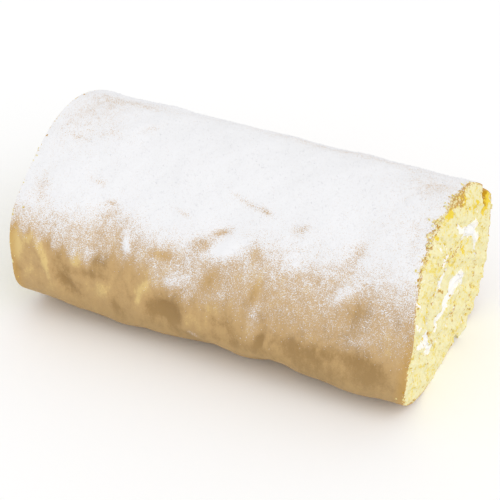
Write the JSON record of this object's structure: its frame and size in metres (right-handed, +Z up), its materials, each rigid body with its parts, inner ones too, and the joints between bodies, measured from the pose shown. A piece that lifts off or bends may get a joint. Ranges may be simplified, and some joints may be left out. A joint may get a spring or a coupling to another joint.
{
  "type": "lemon cake roll",
  "caption": "Yellow sponge sheet rolled round white cream, its browned skin dusted with icing sugar, lying on its long side with a cut end that shows the spiral.",
  "frame": {"origin": "on the surface the roll rests on, under the middle of its bounding box", "axes": "+X along the roll towards the cut end that the picture shows, +Y to the back, where the sheet's free end is tucked under, +Z up"},
  "size_m": [0.1752, 0.104, 0.0774],
  "materials": {
    "sponge": "soft open yellow crumb under a thin tan browned skin, dusted with icing sugar on top",
    "cream": "smooth white whipped cream, softly glossy"
  },
  "bodies": {
    "root": {"sponge": "sponge", "cream": "cream"}
  },
  "joints": []
}
